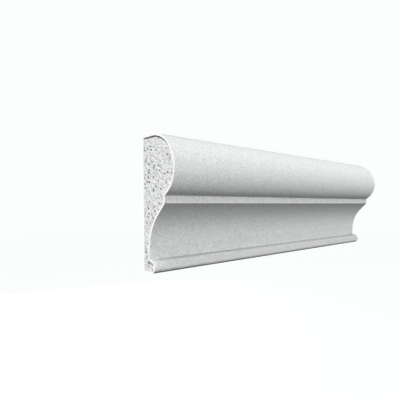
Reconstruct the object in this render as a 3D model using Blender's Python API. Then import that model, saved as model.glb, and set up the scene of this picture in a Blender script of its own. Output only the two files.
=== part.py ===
"""A length of window surround moulding for a facade: a foam core cut to the section, and the thin
mineral coat over its top, front and underside. The back, which is glued to the wall, is bare foam.

X runs along the length, Y into the wall and Z up. The origin is the centre of the wall face, so the
moulding stands out of the wall towards -Y. The section is drawn in millimetres as points (out, up):
out from the wall face, and up from the underside.
"""

import math

import bmesh
import bpy

MILLIMETRE = 0.001

# Driving dimensions, in millimetres
LENGTH = 400.0
HEIGHT = 125.0
PROJECTION = 47.0
TORUS_UPPER_RADIUS = 32.0
TORUS_LOWER_RADIUS = 27.2
NOTCH_RADIUS = 0.5
FILLET_OUT = 33.1
SPLAY_ANGLE = 45.0
COVE_RADIUS = 45.0
COVE_FOOT_UP = 20.3
NECK_OUT = 9.6
SEAM_RADIUS = 2.0
BEAD_DIAMETER = 12.0
BEAD_CENTRE_OUT = 12.0
COAT_THICKNESS = 2.0
GLUE_GAP = 0.3

# Arcs are broken at about this many degrees, and the small hollow ones more coarsely
ARC_STEP = 5.0
HOLLOW_STEP = 15.0

# Edges sharper than this stay crisp
CREASE_ANGLE = 20.0


def arc(out, up, radius, start, end, step=ARC_STEP):
    """Points along an arc round (out, up), from one angle in degrees to another, both ends included."""
    count = math.ceil(abs(end - start) / step)
    angles = [math.radians(start + (end - start) * number / count) for number in range(count + 1)]
    return [(out + radius * math.cos(angle), up + radius * math.sin(angle)) for angle in angles]


def section(inset):
    """The profile from the top of the wall face, round the front, to its foot, moved into the solid by inset.

    Moved inwards, a convex arc gets a smaller radius and a hollow one a larger radius, so every inset
    has the same number of points, and they pair up.
    """
    torus_up = HEIGHT - TORUS_UPPER_RADIUS
    upper_out = PROJECTION - TORUS_UPPER_RADIUS
    lower_out = PROJECTION - TORUS_LOWER_RADIUS
    notch_out = FILLET_OUT + NOTCH_RADIUS
    notch_angle = math.degrees(math.acos((notch_out - lower_out) / (TORUS_LOWER_RADIUS + NOTCH_RADIUS)))
    notch_up = torus_up - (notch_out - lower_out) * math.tan(math.radians(notch_angle))
    cove_out = NECK_OUT + COVE_RADIUS
    seam_out = NECK_OUT + SEAM_RADIUS
    seam_up = BEAD_DIAMETER + SEAM_RADIUS
    bead_radius = BEAD_DIAMETER / 2

    torus = arc(upper_out, torus_up, TORUS_UPPER_RADIUS - inset, 90, 0)
    torus += arc(lower_out, torus_up, TORUS_LOWER_RADIUS - inset, 0, -notch_angle)[1:]
    notch = arc(notch_out, notch_up, NOTCH_RADIUS + inset, 180 - notch_angle, 180, HOLLOW_STEP)[1:]
    cove = arc(cove_out, COVE_FOOT_UP, COVE_RADIUS + inset, 90 + SPLAY_ANGLE, 180)
    splay_run = FILLET_OUT - inset - cove[0][0]
    arris = (FILLET_OUT - inset, cove[0][1] + splay_run * math.tan(math.radians(SPLAY_ANGLE)))
    seam = arc(seam_out, seam_up, SEAM_RADIUS + inset, 180, 270, HOLLOW_STEP)
    bead = arc(BEAD_CENTRE_OUT, bead_radius, bead_radius - inset, 90, -90)
    return [(0.0, HEIGHT - inset), *torus, *notch, arris, *cove, *seam, *bead, (0.0, inset)]


def extruded(name, faces, material):
    """A solid of that name: section faces, each a list of (out, up) points, run along the whole length."""
    shape = bmesh.new()
    verts = {}
    for face in faces:
        for out, up in face:
            if (out, up) not in verts:
                place = (-LENGTH / 2, -out, up - HEIGHT / 2)
                verts[out, up] = shape.verts.new([MILLIMETRE * value for value in place])
        shape.faces.new([verts[point] for point in face])
    run = bmesh.ops.extrude_face_region(shape, geom=list(shape.faces))
    moved = [item for item in run["geom"] if isinstance(item, bmesh.types.BMVert)]
    bmesh.ops.translate(shape, verts=moved, vec=(MILLIMETRE * LENGTH, 0.0, 0.0))
    bmesh.ops.recalc_face_normals(shape, faces=shape.faces)
    mesh = bpy.data.meshes.new(name)
    shape.to_mesh(mesh)
    shape.free()
    mesh.shade_smooth()
    mesh.set_sharp_from_angle(angle=math.radians(CREASE_ANGLE))
    mesh.materials.append(material)
    solid = bpy.data.objects.new(name, mesh)
    bpy.context.scene.collection.objects.link(solid)
    return solid


def plain_material(name, colour, roughness):
    """A matt, non-metallic Principled material of one colour."""
    material = bpy.data.materials.new(name)
    material.use_nodes = True
    shader = material.node_tree.nodes["Principled BSDF"]
    shader.inputs["Base Color"].default_value = (*colour, 1.0)
    shader.inputs["Roughness"].default_value = roughness
    shader.inputs["Metallic"].default_value = 0.0
    return material


def make_foam_core():
    """The foam body, its section inset by the coat's thickness, with its flat back on the wall face."""
    foam = plain_material("foam", (0.78, 0.79, 0.79), 0.85)
    return extruded("foam_core", [section(COAT_THICKNESS)], foam)


def make_mineral_coat():
    """The coat, a strip of faces between the outer profile and the line a glue gap clear of the core."""
    coat = plain_material("coat", (0.74, 0.75, 0.75), 0.9)
    outer = section(0.0)
    inner = section(COAT_THICKNESS - GLUE_GAP)
    strips = zip(outer, outer[1:], inner[1:], inner)
    return extruded("mineral_coat", [list(strip) for strip in strips], coat)


def main():
    for old in list(bpy.data.objects):
        bpy.data.objects.remove(old)
    make_foam_core()
    make_mineral_coat()


main()
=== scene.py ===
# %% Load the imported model
import math
from collections import namedtuple

import bmesh
import bpy
import numpy as np
from mathutils import Euler, Matrix, Vector, noise
from mathutils.geometry import delaunay_2d_cdt
from mathutils.kdtree import KDTree


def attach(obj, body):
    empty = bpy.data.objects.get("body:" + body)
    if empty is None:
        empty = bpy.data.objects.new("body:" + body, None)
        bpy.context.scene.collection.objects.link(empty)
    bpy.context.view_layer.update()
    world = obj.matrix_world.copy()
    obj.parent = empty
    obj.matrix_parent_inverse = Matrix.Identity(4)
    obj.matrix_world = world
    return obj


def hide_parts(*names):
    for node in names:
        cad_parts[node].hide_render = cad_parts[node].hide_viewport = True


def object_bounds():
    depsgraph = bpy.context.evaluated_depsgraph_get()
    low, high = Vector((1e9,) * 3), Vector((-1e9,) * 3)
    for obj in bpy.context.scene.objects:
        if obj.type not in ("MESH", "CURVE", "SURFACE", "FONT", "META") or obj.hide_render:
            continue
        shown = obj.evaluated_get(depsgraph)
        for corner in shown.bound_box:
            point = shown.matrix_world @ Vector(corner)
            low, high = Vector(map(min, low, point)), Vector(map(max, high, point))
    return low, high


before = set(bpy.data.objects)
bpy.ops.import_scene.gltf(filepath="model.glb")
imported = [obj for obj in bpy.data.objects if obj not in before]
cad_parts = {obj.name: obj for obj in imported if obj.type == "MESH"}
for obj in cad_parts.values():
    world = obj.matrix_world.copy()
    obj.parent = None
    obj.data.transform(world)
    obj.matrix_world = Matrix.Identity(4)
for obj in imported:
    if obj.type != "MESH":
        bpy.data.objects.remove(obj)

cad_low, cad_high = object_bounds()
LENGTH = cad_high.x - cad_low.x
HEIGHT = cad_high.z - cad_low.z
PROJECTION = cad_high.y - cad_low.y
print(f"the moulding is {LENGTH:.3f} m long and {HEIGHT:.3f} m high, and stands {PROJECTION:.3f} m out")

# %% [markdown]
# # A length of window surround moulding
#
# The real thing is a stick of white bead foam, cut to a section with a hot wire, and drawn through a die
# that leaves a thin coat of sandy mineral render on its top, front and underside. The builder glues its
# bare back to the wall round a window, and butts the next length against its cut end. So there are two
# pieces here: the coat and the foam. Both get a finer mesh than the construction model, because the sand in
# the coat and the beads in the foam are what makes them look real.

# %% [markdown]
# ## The section
#
# Everything on this moulding is one outline pushed along a straight line. It could be traced with a curve
# object, but the foam needs the same outline two millimetres further in, and an outline of arcs can be
# moved inwards exactly: a rounded arc gets a smaller radius and a hollow one a larger. So the section is a
# function of that inset. Each smooth stretch comes with the spacing that its bends need, and is then cut
# into even steps. Places on the section are pairs (out, up): out from the wall, and up from the underside.

# %% Sizes of the section
TORUS_UPPER_RADIUS = 0.032
TORUS_LOWER_RADIUS = 0.0272
NOTCH_RADIUS = 0.0005
FILLET_OUT = 0.0331
ARRIS_RADIUS = 0.0006
SPLAY_ANGLE = 45.0
COVE_RADIUS = 0.045
COVE_FOOT_UP = 0.0203
NECK_OUT = 0.0096
SEAM_RADIUS = 0.002
BEAD_DIAMETER = 0.012
BEAD_CENTRE_OUT = 0.012
COAT_THICKNESS = 0.002
SKIN_SPACING = 0.0012
EDGE_SPACING = 0.0003


# %% Draw the section
def bend(out, up, radius, start, end):
    """A dense arc of (out, up) points round a centre, from one angle in degrees to another."""
    turn = np.radians(np.linspace(start, end, 2 + int(abs(end - start))))
    return np.stack([out + radius * np.cos(turn), up + radius * np.sin(turn)], axis=1)


def stretches(inset):
    """The smooth stretches of the profile, from the wall's top to its foot, each with its spacing."""
    torus_up = HEIGHT - TORUS_UPPER_RADIUS
    upper_out = PROJECTION - TORUS_UPPER_RADIUS
    lower_out = PROJECTION - TORUS_LOWER_RADIUS
    reach = FILLET_OUT + NOTCH_RADIUS - lower_out
    notch_angle = math.degrees(math.acos(reach / (TORUS_LOWER_RADIUS + NOTCH_RADIUS)))
    notch_up = torus_up - reach * math.tan(math.radians(notch_angle))
    splay = math.radians(SPLAY_ANGLE)
    arris_radius = max(ARRIS_RADIUS - inset, EDGE_SPACING)
    bead_radius = BEAD_DIAMETER / 2

    torus = np.concatenate([
        [(0.0, HEIGHT - inset)],
        bend(upper_out, torus_up, TORUS_UPPER_RADIUS - inset, 90, 0),
        bend(lower_out, torus_up, TORUS_LOWER_RADIUS - inset, 0, -notch_angle)[1:],
    ])
    notch = bend(FILLET_OUT + NOTCH_RADIUS, notch_up, NOTCH_RADIUS + inset, 180 - notch_angle, 180)
    cove = bend(NECK_OUT + COVE_RADIUS, COVE_FOOT_UP, COVE_RADIUS + inset, 90 + SPLAY_ANGLE, 180)
    arris_up = cove[0, 1] + (FILLET_OUT - inset - cove[0, 0]) * math.tan(splay)
    round_up = arris_up + arris_radius * math.tan(splay / 2)
    arris = bend(FILLET_OUT - inset - arris_radius, round_up, arris_radius, 0, -SPLAY_ANGLE)
    seam = bend(NECK_OUT + SEAM_RADIUS, BEAD_DIAMETER + SEAM_RADIUS, SEAM_RADIUS + inset, 180, 270)
    bead = bend(BEAD_CENTRE_OUT, bead_radius, bead_radius - inset, 90, -90)
    return [
        (torus, SKIN_SPACING),
        (notch, EDGE_SPACING),
        (np.array([notch[-1], arris[0]]), SKIN_SPACING / 2),
        (arris, EDGE_SPACING / 2),
        (np.concatenate([arris[-1:], cove, seam[:1]]), SKIN_SPACING),
        (seam, EDGE_SPACING),
        (np.concatenate([seam[-1:], bead, [(0.0, inset)]]), SKIN_SPACING / 2),
    ]


def even_steps(line, steps):
    """That many equal steps along a line of points."""
    along = np.concatenate([[0.0], np.cumsum(np.linalg.norm(np.diff(line, axis=0), axis=1))])
    wanted = np.linspace(0.0, along[-1], steps + 1)
    return np.stack([np.interp(wanted, along, line[:, axis]) for axis in (0, 1)], axis=1)


def profile(inset):
    """The whole profile moved in by inset. Every inset has the same number of points, so they pair up."""
    points = [np.array([(0.0, HEIGHT - inset)])]
    for (line, _), (outer, spacing) in zip(stretches(inset), stretches(0.0)):
        run = np.linalg.norm(np.diff(outer, axis=0), axis=1).sum()
        points.append(even_steps(line, max(2, math.ceil(run / spacing)))[1:])
    return np.concatenate(points)


coat_line = profile(0.0)
foam_line = profile(COAT_THICKNESS)
print(f"the section has {len(coat_line)} points, and the foam reaches {foam_line[:, 0].max():.4f} m out")

# %% [markdown]
# ## Meshes from numbers
#
# Both pieces are sheets of small four-sided faces with an edge to close. A sheet is easiest to write as a
# table of point numbers: its neighbours in the table are its neighbours on the piece. The helper below
# turns such a table into faces, and another one makes a clean object from all the faces together.
# Blender's own tools then turn the faces outwards and keep the cut edges crisp.


# %% Helpers for meshes
def sheet(table):
    """Four-sided faces between the neighbours in a table of point numbers."""
    a, b, c, d = table[:-1, :-1], table[1:, :-1], table[1:, 1:], table[:-1, 1:]
    return np.stack([a, b, c, d], axis=-1).reshape(-1, 4).tolist()


def closed_piece(name, points, faces, finishes, crease):
    """An object from points and faces, each face with the number of its finish, facing out and smooth."""
    mesh = bpy.data.meshes.new(name)
    mesh.from_pydata(np.asarray(points).tolist(), [], faces)
    mesh.polygons.foreach_set("material_index", np.asarray(finishes, dtype=np.int32))
    shape = bmesh.new()
    shape.from_mesh(mesh)
    bmesh.ops.recalc_face_normals(shape, faces=shape.faces)
    open_edges = sum(not edge.is_manifold for edge in shape.edges)
    shape.to_mesh(mesh)
    shape.free()
    mesh.shade_smooth()
    mesh.set_sharp_from_angle(angle=math.radians(crease))
    piece = bpy.data.objects.new(name, mesh)
    bpy.context.scene.collection.objects.link(piece)
    print(f"{name}: {len(mesh.polygons)} faces, {open_edges} open edges")
    return piece


def store(piece, name, values):
    """Keep one number for each point of a piece, under a name that its finish can read."""
    piece.data.attributes.new(name, "FLOAT", "POINT").data.foreach_set("value", values)


def placed(x, line):
    """Points of a profile line at one place along the length, in the frame's X, Y and Z."""
    return np.stack([np.full(len(line), x), -line[:, 0], line[:, 1] - HEIGHT / 2], axis=1)


def facing(line):
    """The direction in which each point of a profile line faces, as (out, up)."""
    run = np.gradient(line, axis=0)
    run /= np.linalg.norm(run, axis=1)[:, None]
    return np.stack([-run[:, 1], run[:, 0]], axis=1)


def nearness(line, place, reach, fade):
    """For each point of a line: 1 near a place of the section, 0 beyond its reach, and a fade between."""
    distance = np.linalg.norm(line - np.array(place), axis=1)
    return np.clip((reach - distance) / fade, 0.0, 1.0)


def unit_noise(place):
    """Smooth noise at a place, from 0 to 1, with features about one unit wide."""
    return 0.5 + 0.5 * noise.noise(place)


# %% [markdown]
# ## The mineral coat
#
# The coat comes out of the die almost smooth: it wanders by a tenth of a millimetre over a finger's width,
# and its sand makes a fine tooth. The die also scores a thin line at the foot of the small hollow over the
# bead. All three are pressed into the mesh, always inwards, so that the piece keeps its outside size. The
# saw leaves the coat as a white rim round the foam, a little uneven in the middle of its width. The inside
# of the coat is never seen, so it is a plain strip from end to end.

# %% The coat's surface
WAVE_LENGTH = 0.022
WAVE_DEPTH = 0.00010
SAND_SIZE = 0.0016
SAND_DEPTH = 0.00005
SCORE_PLACE = (0.0111, 0.0121)
SCORE_WIDTH = 0.0008
SCORE_DEPTH = 0.0003


def coat_depth(point):
    """How far the coat's surface lies below its true size at a point, from its waves and its sand."""
    return WAVE_DEPTH * unit_noise(point / WAVE_LENGTH) + SAND_DEPTH * unit_noise(point / SAND_SIZE)


def coat_skin(stations):
    """The coat's outer skin: one row of points round the section for each station along the length."""
    inward = -facing(coat_line)
    inward[[0, -1], 0] = 0.0
    score = SCORE_DEPTH * nearness(coat_line, SCORE_PLACE, SCORE_WIDTH, SCORE_WIDTH)
    rows = []
    for x in stations:
        row = placed(x, coat_line)
        depth = score + [coat_depth(Vector(point)) for point in row]
        row[:, 1] -= inward[:, 0] * depth
        row[:, 2] += inward[:, 1] * depth
        rows.append(row)
    return rows


# %% The coat's sawn rim
SAW_DEPTH = 0.00006
RIM_STEPS = 4


def rim_rings(outer, x, side):
    """Rings of points across the sawn rim at one end, from its outer skin to the foam."""
    inner = placed(x, foam_line)
    rings = []
    for step in range(1, RIM_STEPS + 1):
        share = step / RIM_STEPS
        ring = outer * (1 - share) + inner * share
        if step < RIM_STEPS:
            depth = [SAW_DEPTH * unit_noise(Vector(point) / SAND_SIZE) for point in ring]
            ring[:, 0] += side * np.array(depth)
        rings.append(ring)
    return rings


# %% [markdown]
# ## Painted shade along the coat
#
# A real length looks greyer in its turns and on its underside, and whiter on its rounded fronts, than a few
# soft lights make it. That is shade and light which this studio does not give, so it is painted here as
# tones of the coat's colour: painted shade in the turn under the torus, on the splay, at the cove's foot,
# along the scored line and on the bead's top, nose and underside, and painted highlights on the fronts of
# the torus and
# the bead. This has a price: the tones stay when the lights change, and the one on the underside of the bead
# shows as a dark band from below. An image could hold the tones too, but it would need an unwrapped surface.
# They run along the length, so a place on the section is enough: each tone has a centre (out, up), a reach,
# a fade at its edge, and the share of the coat's colour that is lost there. A loss below zero makes the coat
# whiter. The result is one factor for each point, stored on the mesh under the name shade. The painted shade
# on the upper side of the bead fades in from the near end, where light still reaches the bead's top.

# %% The tones
Tone = namedtuple("Tone", "place reach fade loss")

# Painted shade where the loss is above zero, and painted highlights where it is below zero.
TORUS_FRONT = Tone((0.0445, 0.0830), reach=0.0130, fade=0.0080, loss=-0.08)
TORUS_TURN = Tone((0.0331, 0.0690), reach=0.0080, fade=0.0080, loss=0.20)
SPLAY = Tone((0.0331, 0.0615), reach=0.0120, fade=0.0120, loss=0.34)
COVE_FOOT = Tone((0.0096, 0.0180), reach=0.0100, fade=0.0050, loss=0.07)
BEAD_FRONT = Tone((0.0172, 0.0036), reach=0.0032, fade=0.0020, loss=-0.14)
BEAD_UNDERSIDE = Tone((0.0142, 0.0004), reach=0.0034, fade=0.0014, loss=0.70)
SCORED_LINE = Tone((0.0111, 0.0121), reach=0.0018, fade=0.0018, loss=0.42)
BEAD_TOP = Tone((0.0128, 0.0120), reach=0.0030, fade=0.0030, loss=0.35)
BEAD_NOSE = Tone((0.0176, 0.0095), reach=0.0050, fade=0.0030, loss=0.14)
SPLAY_TOP = 0.0624
LIGHT_END = 0.025


def painted_shading(tones):
    """The factor of the coat's colour at each point of the outer profile: painted shade below 1 and painted
    highlight above 1. It is 1 away from all the tones.
    """
    return np.prod([1 - tone.loss * nearness(coat_line, *tone[:3]) for tone in tones], axis=0)


def painted_coat_shading(stations):
    """The factor of the coat's colour at each point of the outer skin: its painted shade and painted
    highlights.
    """
    splay = np.where(coat_line[:, 1] < SPLAY_TOP, painted_shading([SPLAY]), 1.0)
    painted_whole_length = painted_shading([TORUS_FRONT, TORUS_TURN, COVE_FOOT, BEAD_FRONT, BEAD_UNDERSIDE]) * splay
    # The painted shade on the bead fades in from the near end, where light still reaches the bead's top.
    started = np.clip((stations - cad_low.x) / LIGHT_END, 0.0, 1.0)
    return painted_whole_length * (1 + np.outer(started, painted_shading([SCORED_LINE, BEAD_TOP, BEAD_NOSE]) - 1))


# %% Build the coat
SKIN_FINISH = 0
RIM_FINISH = 1
COAT_CREASE = 35


def make_coat():
    """The coat: a fine outer skin, a plain inner skin, a rim at each end and two edges on the wall face."""
    stations = np.linspace(cad_low.x, cad_high.x, round(LENGTH / SKIN_SPACING) + 1)
    points = coat_skin(stations)
    count = len(coat_line)
    skin = np.arange(len(stations) * count).reshape(len(stations), count)
    faces = sheet(skin)
    finishes = [SKIN_FINISH] * len(faces)

    rims = []
    for station, side in ((0, 1), (len(stations) - 1, -1)):
        rings = len(points) * count + np.arange(RIM_STEPS * count).reshape(RIM_STEPS, count)
        points += rim_rings(points[station], stations[station], side)
        rims.append(np.vstack([skin[station], rings]))
        rim = sheet(rims[-1])
        faces += rim
        finishes += [RIM_FINISH] * len(rim)

    near, far = rims
    inner_skin = sheet(np.array([near[-1], far[-1]]))
    wall_edges = []
    for end in (0, -1):
        wall_edges.append([*skin[:, end].tolist(), *far[1:, end].tolist(), *near[:0:-1, end].tolist()])
    faces += inner_skin + wall_edges
    finishes += [SKIN_FINISH] * (len(inner_skin) + len(wall_edges))
    coat = closed_piece("coat_shell", np.concatenate(points), faces, finishes, COAT_CREASE)

    # The painted shade and painted highlights of the outer skin, and 1 everywhere else.
    shades = np.ones(len(points) * count, dtype=np.float32)
    shades[:skin.size] = painted_coat_shading(stations).ravel()
    store(coat, "shade", shades)
    return coat


coat_shell = make_coat()

# %% [markdown]
# ## The foam body
#
# Bead foam is made of small balls, steamed until they press flat against each other. Where a hot wire or a
# saw cuts through them, the stiff skins of the beads stand proud and white, their soft middles sink in and
# look grey, and a dark hole is left wherever a few balls did not quite meet. Both are formulas of the place
# in space. Plain noise gives the skins and middles, and for the holes Blender's Voronoi noise scatters
# points, and tells how far away the nearest one is. A cut that just grazes a hole shows a small pit, and one
# through its middle a large dark one, so they come in all sizes. The space is stretched along a slant,
# because the beads were pressed that way: much for the skins and middles, and less for the holes.

# %% Beads and holes in the foam
PRESSED_LEAN = math.radians(30)
BEAD_STRETCH = 3.0
HOLE_STRETCH = 1.8
BEAD_SIZE = 0.0011
BEAD_CONTRAST = 0.9
HOLE_SPACING = 0.0030
HOLE_RADIUS = 0.0009
HOLE_EDGE = 0.00035
LEANING = Matrix.Rotation(-PRESSED_LEAN, 3, "X")
PRESSED_BEADS = Matrix.Diagonal((1.0, 1 / BEAD_STRETCH, 1.0)) @ LEANING
PRESSED_HOLES = Matrix.Diagonal((1.0, 1 / HOLE_STRETCH, 1.0)) @ LEANING


def bead_share(point):
    """1 on the proud white skin of a bead and 0 in its soft middle."""
    return min(1.0, max(0.0, 0.5 + BEAD_CONTRAST * noise.noise(PRESSED_BEADS @ point / BEAD_SIZE)))


def hole_share(point):
    """How far a point of a cut face is into a hole, from 0 at its edge to 1."""
    distances, _ = noise.voronoi(PRESSED_HOLES @ point / HOLE_SPACING)
    return min(1.0, max(0.0, (HOLE_RADIUS - distances[0] * HOLE_SPACING) / HOLE_EDGE))


def cut_foam(points):
    """What a cut shows at each point: the share of bead skin and the share of hole."""
    spots = [Vector(point) for point in points]
    return np.array([bead_share(spot) for spot in spots]), np.array([hole_share(spot) for spot in spots])


# %% [markdown]
# ## A sawn face of any outline
#
# The end of the foam needs thousands of small faces inside an outline with hollows in it. Rows of a grid
# would stop raggedly at the outline. A constrained Delaunay triangulation takes the outline and any scatter
# of points, and returns clean triangles that fit both. So the points form an even lattice in the middle, and
# follow the outline near the coat. Along the top the foam has shrunk back from the coat, and the rings of
# points beside the outline give that dark gap its crisp edges.

# %% Points of the sawn face
FOAM_CLEARANCE = 0.00005
FOAM_INSET = COAT_THICKNESS + FOAM_CLEARANCE
FACE_SPACING = 0.0005
GAP_RINGS = (0.0003, 0.0006, 0.0009, 0.0013)
LATTICE_CLEARANCE = 0.6 * FACE_SPACING
TRIANGLES_INSIDE = 1
MERGE_DISTANCE = 1e-7


def lattice(low, high, spacing):
    """Points of an even three-way lattice that fills a box from low to high."""
    rows = []
    for number, up in enumerate(np.arange(low[1], high[1], spacing * math.sqrt(3) / 2)):
        outs = np.arange(low[0] + spacing / 2 * (number % 2), high[0], spacing)
        rows.append(np.stack([outs, np.full(len(outs), up)], axis=1))
    return np.concatenate(rows)


def within(points, line):
    """Which points lie between the wall face and a profile line."""
    ups = line[::-1, 1]
    reach = np.interp(points[:, 1], ups, line[::-1, 0])
    return (points[:, 0] < reach) & (points[:, 1] > ups[0]) & (points[:, 1] < ups[-1])


def sawn_face():
    """The foam's section: all its points, the triangles between them, its outline and its back."""
    outer = profile(FOAM_INSET)
    steps = round((outer[0, 1] - outer[-1, 1]) / FACE_SPACING)
    back = np.stack([np.zeros(steps + 1), np.linspace(outer[-1, 1], outer[0, 1], steps + 1)], axis=1)
    border = np.concatenate([outer, back[1:-1]])
    rings = [profile(FOAM_INSET + step)[1:-1] for step in GAP_RINGS]
    rings = [ring[ring[:, 0] > FACE_SPACING] for ring in rings]
    middle = lattice((FACE_SPACING, outer[:, 1].min()), outer.max(axis=0), FACE_SPACING)
    middle = middle[within(middle, profile(FOAM_INSET + GAP_RINGS[-1] + LATTICE_CLEARANCE))]
    points = [Vector(point) for point in np.concatenate([border, *rings, middle])]
    whole = list(range(len(border)))
    found = delaunay_2d_cdt(points, [], [whole], TRIANGLES_INSIDE, MERGE_DISTANCE)
    return np.array([tuple(point) for point in found[0]]), found[2], outer, back


# %% Try the triangulation
face_points, face_triangles, foam_outer, foam_back = sawn_face()
print(f"a sawn face has {len(face_points)} points and {len(face_triangles)} triangles")

# %% [markdown]
# ## From the sawn face to the body
#
# Both ends use the same triangles. Each point is then pushed in: a little everywhere, because the foam is
# softer than the coat and the saw takes more of it, deeper in a hole, and deepest in two places where the
# foam has come away: the gap under the coat's top, and a small curved crack in the foot bead. The back is a
# fine sheet of its own with holes in it. Holes fade out beside the edges between back and ends, so that the
# edges stay whole. The sides lie hidden against the coat, so they are single long strips.

# %% The gap under the coat and the crack in the bead
GAP_WIDTH = 0.0013
GAP_SLOPE = GAP_WIDTH / 3
GAP_STARTS = 0.50
GAP_FULL = 0.85
CRACK_CENTRE = (0.0092, 0.0064)
CRACK_RADIUS = 0.0036
CRACK_WIDTH = 0.0010
CRACK_SLOPE = CRACK_WIDTH / 2
CRACK_STARTS = 0.2
CRACK_FULL = 0.5


def smooth_step(value, start, full):
    """0 before start, 1 after full, and a soft slope between."""
    share = np.clip((value - start) / (full - start), 0.0, 1.0)
    return share * share * (3 - 2 * share)


def gap_shares(points):
    """How far each point of the sawn face is into the gap, which follows the outline where it faces up."""
    tree = KDTree(len(foam_outer))
    for number, (out, up) in enumerate(foam_outer):
        tree.insert((out, up, 0.0), number)
    tree.balance()
    found = [tree.find((out, up, 0.0)) for out, up in points]
    distance = np.array([near[2] for near in found])
    upward = facing(foam_outer)[[near[1] for near in found], 1] * (points[:, 1] > HEIGHT / 2)
    return smooth_step(upward, GAP_STARTS, GAP_FULL) * smooth_step(GAP_WIDTH - distance, 0.0, GAP_SLOPE)


def crack_shares(points):
    """How far each point of the sawn face is into the crack, the upper part of a ring in the bead."""
    away = points - np.array(CRACK_CENTRE)
    distance = np.linalg.norm(away, axis=1)
    upper = smooth_step(away[:, 1] / distance, CRACK_STARTS, CRACK_FULL)
    return upper * smooth_step(CRACK_WIDTH - np.abs(distance - CRACK_RADIUS), 0.0, CRACK_SLOPE)


# %% Depths of the sawn face
SAWN_RECESS = 0.0003
BEAD_RELIEF = 0.0004
HOLE_DEPTH = 0.0013
GAP_DEPTH = 0.0026
EDGE_KEPT = 0.0012


def edge_fade(distances):
    """0 on an edge between two cut faces, and 1 further off, so that no hole breaks the edge."""
    return smooth_step(distances, 0.0, EDGE_KEPT)


def face_depths(x):
    """The depth of each point of the sawn face at one end, its bead skin, and its darkness as a hole, gap or
    crack, which the finish paints as shade.
    """
    gaps = np.maximum(gap_shares(face_points), crack_shares(face_points))
    beads, holes = cut_foam(placed(x, face_points))
    holes *= (1 - gaps) * edge_fade(face_points[:, 0])
    depth = SAWN_RECESS + BEAD_RELIEF * (1 - beads) + HOLE_DEPTH * holes + GAP_DEPTH * gaps
    return depth, beads, np.maximum(holes, gaps)


# %% The back of the foam
BACK_SPACING = 0.0009


def back_sheet(ups):
    """The beaded back between the two ends: its columns of points, their bead skin and their holes."""
    rows_kept = edge_fade(np.minimum(ups - ups[0], ups[-1] - ups))
    columns, beads, holes = [], [], []
    for x in np.linspace(cad_low.x, cad_high.x, round(LENGTH / BACK_SPACING) + 1)[1:-1]:
        column = placed(x, np.stack([np.zeros(len(ups)), ups], axis=1))
        bead, hole = cut_foam(column)
        hole *= rows_kept * edge_fade(min(x - cad_low.x, cad_high.x - x))
        depth = HOLE_DEPTH * hole + BEAD_RELIEF * (1 - bead)
        column[1:-1, 1] -= depth[1:-1]
        columns.append(column)
        beads.append(bead)
        holes.append(hole)
    return columns, beads, holes


def find_numbers(wanted):
    """The numbers that certain places have among the sawn face's points."""
    return [int(np.argmin(np.abs(face_points - place).sum(axis=1))) for place in wanted]


# %% Build the foam
FOAM_FINISH = 0
FOAM_CREASE = 55
SAME_PLACE = 1e-9


def sawn_ends():
    """Both sawn ends: their points, their bead skin, their holes and their triangles."""
    points, beads, holes, faces = [], [], [], []
    for x, side in ((cad_low.x, 1), (cad_high.x, -1)):
        depth, bead, hole = face_depths(x)
        end = placed(x, face_points)
        end[:, 0] += side * depth
        first = len(face_points) * len(points)
        faces += [[number + first for number in triangle] for triangle in face_triangles]
        points.append(end)
        beads.append(bead)
        holes.append(hole)
    return points, beads, holes, faces


def back_seams(back, ups):
    """The faces that join the fine back to the ends, whose points are closer, and to the long sides."""
    edge = np.array(find_numbers(foam_back))
    starts = np.searchsorted(foam_back[:, 1], ups - SAME_PLACE)
    count = len(face_points)
    faces = []
    for column, first in ((back[0], 0), (back[-1], count)):
        for row in range(len(ups) - 1):
            run = edge[starts[row]:starts[row + 1] + 1] + first
            faces.append([*run.tolist(), int(column[row + 1]), int(column[row])])
    for end in (0, -1):
        faces.append([*back[:, end].tolist(), int(edge[end]) + count, int(edge[end])])
    return faces


def make_foam():
    """The foam body: two sawn ends with holes, a beaded back and plain hidden sides."""
    count = len(face_points)
    points, beads, holes, faces = sawn_ends()
    outline = np.array(find_numbers(foam_outer))
    faces += sheet(np.array([outline, outline + count]))

    low, high = foam_back[0, 1], foam_back[-1, 1]
    ups = np.linspace(low, high, round((high - low) / BACK_SPACING) + 1)
    columns, back_beads, back_holes = back_sheet(ups)
    back = 2 * count + np.arange(len(columns) * len(ups)).reshape(len(columns), len(ups))
    points += columns
    beads += back_beads
    holes += back_holes
    faces += sheet(back) + back_seams(back, ups)

    foam = closed_piece("foam_body", np.concatenate(points), faces, [FOAM_FINISH] * len(faces), FOAM_CREASE)
    store(foam, "bead", np.concatenate(beads).astype(np.float32))
    # The hole value sets the depth of the holes, and also the painted shade in them in the finish.
    store(foam, "hole", np.concatenate(holes).astype(np.float32))
    return foam


foam_body = make_foam()

# %% [markdown]
# ## Finishes
#
# The coat is a matt grey-white with sand in it: soft blotches, a fine grain, and a dark speck here and
# there. A single colour would look like plastic. The colour comes from noise textures in the object's own
# coordinates, times the painted shade and painted highlights stored on the mesh, and the finest grain from a
# bump, because it is smaller than the mesh. The sawn rim of the coat is whiter. The foam takes each bead's
# shade and its holes from values stored on the mesh too, so that colour and shape agree, and the holes, the
# gap and the crack are painted dark as painted shade. Each ramp below is a few pairs: a place along the
# value that it reads, and the factor of the colour there.

# %% Helpers for finishes
MATT_SPECULAR = 0.25


def new_finish(name, colour, roughness):
    """A matt material and its Principled shader."""
    finish = bpy.data.materials.new(name)
    finish.use_nodes = True
    shader = finish.node_tree.nodes["Principled BSDF"]
    shader.inputs["Base Color"].default_value = (*colour, 1.0)
    shader.inputs["Roughness"].default_value = roughness
    shader.inputs["Specular IOR Level"].default_value = MATT_SPECULAR
    return finish, shader


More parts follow.
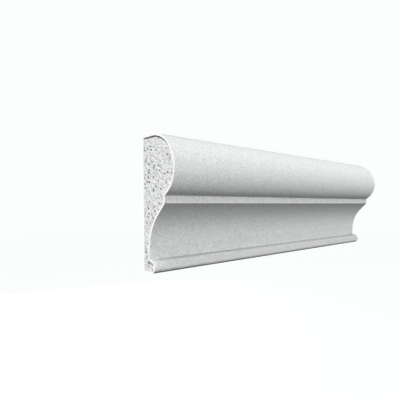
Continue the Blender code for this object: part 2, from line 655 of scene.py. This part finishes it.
def add_node(finish, kind, **values):
    """A node of that kind in a finish, with its properties set."""
    node = finish.node_tree.nodes.new(kind)
    for name, value in values.items():
        setattr(node, name, value)
    return node


def stored(finish, name):
    """The value stored on the mesh under that name."""
    return add_node(finish, "ShaderNodeAttribute", attribute_name=name).outputs["Fac"]


def noise_at(finish, size, detail=2.0, roughness=0.5):
    """The value of noise with features of that size in metres, its finest weighted by roughness."""
    coordinates = add_node(finish, "ShaderNodeTexCoord")
    texture = add_node(finish, "ShaderNodeTexNoise")
    texture.inputs["Scale"].default_value = 1 / size
    texture.inputs["Detail"].default_value = detail
    texture.inputs["Roughness"].default_value = roughness
    finish.node_tree.links.new(coordinates.outputs["Object"], texture.inputs["Vector"])
    return texture.outputs["Fac"]


def ramp(finish, value, stops):
    """Greys along a value: stops are pairs of a place from 0 to 1 and a grey."""
    node = add_node(finish, "ShaderNodeValToRGB")
    for element, (place, grey) in zip(node.color_ramp.elements, stops):
        element.position = place
        element.color = (grey, grey, grey, 1.0)
    finish.node_tree.links.new(value, node.inputs["Fac"])
    return node.outputs["Color"]


def multiply(finish, first, second):
    """The product of two colours, each a socket or three numbers."""
    node = add_node(finish, "ShaderNodeMix", data_type="RGBA", blend_type="MULTIPLY")
    node.inputs["Factor"].default_value = 1.0
    for socket, value in ((node.inputs["A"], first), (node.inputs["B"], second)):
        if isinstance(value, tuple):
            socket.default_value = (*value, 1.0)
        else:
            finish.node_tree.links.new(value, socket)
    return node.outputs["Result"]


def bump(finish, shader, height, distance):
    """A bump of that depth, in metres, from a height value."""
    node = add_node(finish, "ShaderNodeBump")
    node.inputs["Distance"].default_value = distance
    finish.node_tree.links.new(height, node.inputs["Height"])
    finish.node_tree.links.new(node.outputs["Normal"], shader.inputs["Normal"])


# %% The coat's finish
COAT_COLOUR = (0.800, 0.811, 0.813)
COAT_ROUGHNESS = 0.92
BLOTCH_SIZE = 0.0060
BLOTCHES = ((0.35, 0.96), (0.65, 1.0))
GRAIN_SIZE = 0.0018
GRAIN = ((0.35, 0.64), (0.65, 1.0))
GRAIN_BUMP = 0.00006
SPECK_SIZE = 0.0016
SPECKS = ((0.20, 0.80), (0.28, 1.0))


def coat_finish():
    """Sandy mineral render: blotches, grain, a few specks and the stored painted shade and painted
    highlights, with a fine bump.
    """
    finish, shader = new_finish("mineral_render", COAT_COLOUR, COAT_ROUGHNESS)
    grain_height = noise_at(finish, GRAIN_SIZE, detail=5.0, roughness=0.85)
    blotches = ramp(finish, noise_at(finish, BLOTCH_SIZE, detail=3.0), BLOTCHES)
    grain = ramp(finish, grain_height, GRAIN)
    specks = ramp(finish, noise_at(finish, SPECK_SIZE, detail=0.0), SPECKS)
    sand = multiply(finish, blotches, grain)
    # The stored shade is painted shade and painted highlights on the coat's colour.
    colour = multiply(finish, sand, multiply(finish, specks, stored(finish, "shade")))
    colour = multiply(finish, colour, COAT_COLOUR)
    finish.node_tree.links.new(colour, shader.inputs["Base Color"])
    bump(finish, shader, grain_height, GRAIN_BUMP)
    return finish


# %% The sawn rim's finish
RIM_COLOUR = (0.925, 0.93, 0.93)
RIM_ROUGHNESS = 0.9
RIM_GRAIN = ((0.30, 0.95), (0.60, 1.0))


def rim_finish():
    """The sawn edge of the coat: whiter, with a faint grain."""
    finish, shader = new_finish("sawn_render", RIM_COLOUR, RIM_ROUGHNESS)
    grain_height = noise_at(finish, GRAIN_SIZE, detail=3.0)
    grain = ramp(finish, grain_height, RIM_GRAIN)
    finish.node_tree.links.new(multiply(finish, grain, RIM_COLOUR), shader.inputs["Base Color"])
    bump(finish, shader, grain_height, GRAIN_BUMP / 2)
    return finish


# %% The foam's finish
FOAM_COLOUR = (0.900, 0.908, 0.910)
FOAM_ROUGHNESS = 0.8
BEAD_GREYS = ((0.15, 0.64), (0.85, 1.0))
# The holes, the gap under the coat and the crack are painted dark: painted shade on top of the shade that
# their depth casts.
HOLE_PAINTED_SHADE = ((0.0, 1.0), (0.9, 0.12))
CELL_SIZE = 0.0008
CELL_GREYS = ((0.35, 0.84), (0.62, 1.0))


def foam_finish():
    """Bead foam: white bead skins, greyer middles, painted shade in the holes, the gap and the crack, and a
    tiny grain.
    """
    finish, shader = new_finish("bead_foam", FOAM_COLOUR, FOAM_ROUGHNESS)
    beads = ramp(finish, stored(finish, "bead"), BEAD_GREYS)
    holes = ramp(finish, stored(finish, "hole"), HOLE_PAINTED_SHADE)
    cell_height = noise_at(finish, CELL_SIZE)
    cells = ramp(finish, cell_height, CELL_GREYS)
    colour = multiply(finish, multiply(finish, beads, cells), holes)
    finish.node_tree.links.new(multiply(finish, colour, FOAM_COLOUR), shader.inputs["Base Color"])
    bump(finish, shader, cell_height, GRAIN_BUMP)
    return finish


# %% Put the pieces in place
for piece, node, slot, finishes in (
    (coat_shell, "mineral_coat", "coat", (coat_finish(), rim_finish())),
    (foam_body, "foam_core", "foam", (foam_finish(),)),
):
    for finish in finishes:
        piece.data.materials.append(finish)
    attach(piece, "root")
    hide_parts(node)
    print(f"{piece.name} takes the place of {node}, number of finishes: {len(finishes)}")

# %% [markdown]
# ## Studio
#
# A product shot of a white thing on white. A soft light stands low on the left for the sawn end, one high in
# front for the coat, one overhead for the torus, and a strong one behind for the back, which no other light
# reaches. Almost no light comes from below, so that the hollows read as dark bands. The surroundings look
# white to the camera but give hardly any light, and the floor lies far below and glows in the same white,
# so no horizon shows. The camera stands close to the near end, level with the middle of the moulding, so the
# lines run together towards the far end.

# %% Camera
CAMERA_PLACE = Vector((-0.3810, -0.2774, -0.0049))
CAMERA_YAW = math.radians(42.17)
CAMERA_PITCH = math.radians(1.37)
CAMERA_ROLL = math.radians(-0.71)
CAMERA_LENS = 32.05
NEAREST_SEEN = 0.01

aim = Euler((math.pi / 2 + CAMERA_PITCH, 0.0, -CAMERA_YAW)).to_matrix()
turn = aim @ Matrix.Rotation(CAMERA_ROLL, 3, "Z")
camera = bpy.data.objects.new("camera", bpy.data.cameras.new("camera"))
camera.matrix_world = Matrix.Translation(CAMERA_PLACE) @ turn.to_4x4()
camera.data.lens = CAMERA_LENS
camera.data.clip_start = NEAREST_SEEN
bpy.context.scene.collection.objects.link(camera)
bpy.context.scene.camera = camera
print(f"the camera stands {CAMERA_PLACE.length:.3f} m from the middle of the wall face")

# %% Lights
LIGHT_DISTANCE = 4.0
LIGHT_SIZE = 1.8


def softbox(name, elevation, azimuth, strength):
    """A large soft light, aimed at the moulding. Azimuth 0 is straight in front, and left is negative."""
    up, across = math.radians(elevation), math.radians(azimuth)
    direction = Vector((
        math.sin(across) * math.cos(up),
        -math.cos(across) * math.cos(up),
        math.sin(up),
    ))
    light = bpy.data.objects.new(name, bpy.data.lights.new(name, "AREA"))
    light.data.shape = "DISK"
    light.data.size = LIGHT_SIZE
    light.data.energy = strength * math.pi * LIGHT_DISTANCE ** 2
    light.location = direction * LIGHT_DISTANCE
    light.rotation_mode = "QUATERNION"
    light.rotation_quaternion = direction.to_track_quat("Z", "Y")
    bpy.context.scene.collection.objects.link(light)
    print(f"{name} light: {light.data.energy:.0f} W")


softbox("side", elevation=0, azimuth=-75, strength=3.10)
softbox("front", elevation=30, azimuth=20, strength=2.55)
softbox("overhead", elevation=75, azimuth=-30, strength=1.60)
softbox("back", elevation=-5, azimuth=160, strength=5.00)

# %% White surroundings
BACKDROP_WHITE = (0.973, 0.991, 0.991)
AMBIENT = 0.004

world = bpy.data.worlds.new("studio")
bpy.context.scene.world = world
world.use_nodes = True
nodes, links = world.node_tree.nodes, world.node_tree.links
seen = nodes["Background"]
seen.inputs["Color"].default_value = (*BACKDROP_WHITE, 1.0)
ambient = nodes.new("ShaderNodeBackground")
ambient.inputs["Strength"].default_value = AMBIENT
path = nodes.new("ShaderNodeLightPath")
either = nodes.new("ShaderNodeMixShader")
links.new(path.outputs["Is Camera Ray"], either.inputs["Fac"])
links.new(ambient.outputs["Background"], either.inputs[1])
links.new(seen.outputs["Background"], either.inputs[2])
links.new(either.outputs["Shader"], nodes["World Output"].inputs["Surface"])
bpy.context.scene.view_settings.view_transform = "Standard"

# %% Floor
FLOOR_DROP = 0.9
FLOOR_RADIUS = 15.0
FLOOR_SIDES = 96
FLOOR_COLOUR = (0.01, 0.01, 0.01)
FLOOR_ROUGHNESS = 0.9
FLOOR_GLOW = 0.99

bpy.ops.mesh.primitive_circle_add(
    vertices=FLOOR_SIDES, radius=FLOOR_RADIUS, fill_type="NGON", location=(0, 0, -FLOOR_DROP)
)
floor = bpy.context.object
floor.name = "floor"
floor_finish, floor_shader = new_finish("pale_floor", FLOOR_COLOUR, FLOOR_ROUGHNESS)
floor_shader.inputs["Emission Color"].default_value = (*BACKDROP_WHITE, 1.0)
floor_shader.inputs["Emission Strength"].default_value = FLOOR_GLOW
floor.data.materials.append(floor_finish)
floor.visible_diffuse = False
